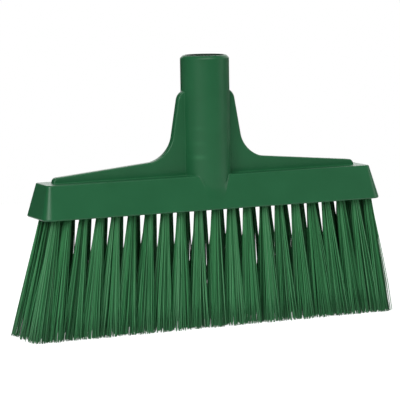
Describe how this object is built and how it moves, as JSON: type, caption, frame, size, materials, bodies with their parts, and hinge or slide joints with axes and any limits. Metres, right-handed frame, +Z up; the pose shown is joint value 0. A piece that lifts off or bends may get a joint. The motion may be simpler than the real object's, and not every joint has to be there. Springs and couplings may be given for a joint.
{
  "type": "upright broom head",
  "caption": "Upright broom head: moulded block with a braced round handle socket on top and rows of stiff bristle tufts that fan out below it.",
  "frame": {"origin": "on the floor, under the middle of the block, at the level of the bristle tips", "axes": "+Z up along the handle socket's axis, +X along the block's length, +Y towards the back, so the front faces -Y"},
  "size_m": [0.2878, 0.0422, 0.192],
  "materials": {
    "moulding": "satin injection-moulded polypropylene",
    "bristles": "drawn polyester filament with a soft sheen"
  },
  "bodies": {
    "root": {"broom_moulding": "moulding", "tuft_front_01": "bristles", "tuft_front_02": "bristles", "tuft_front_03": "bristles", "tuft_front_04": "bristles", "tuft_front_05": "bristles", "tuft_front_06": "bristles", "tuft_front_07": "bristles", "tuft_front_08": "bristles", "tuft_front_09": "bristles", "tuft_front_10": "bristles", "tuft_front_11": "bristles", "tuft_front_12": "bristles", "tuft_front_13": "bristles", "tuft_front_14": "bristles", "tuft_front_15": "bristles", "tuft_front_16": "bristles", "tuft_front_17": "bristles", "tuft_front_18": "bristles", "tuft_front_19": "bristles", "tuft_front_20": "bristles", "tuft_front_21": "bristles", "tuft_middle_01": "bristles", "tuft_middle_02": "bristles", "tuft_middle_20": "bristles", "tuft_middle_21": "bristles", "tuft_rear_01": "bristles", "tuft_rear_02": "bristles", "tuft_rear_03": "bristles", "tuft_rear_04": "bristles", "tuft_rear_05": "bristles", "tuft_rear_06": "bristles", "tuft_rear_07": "bristles", "tuft_rear_08": "bristles", "tuft_rear_09": "bristles", "tuft_rear_10": "bristles", "tuft_rear_11": "bristles", "tuft_rear_12": "bristles", "tuft_rear_13": "bristles", "tuft_rear_14": "bristles", "tuft_rear_15": "bristles", "tuft_rear_16": "bristles", "tuft_rear_17": "bristles", "tuft_rear_18": "bristles", "tuft_rear_19": "bristles", "tuft_rear_20": "bristles", "tuft_rear_21": "bristles"}
  },
  "joints": []
}
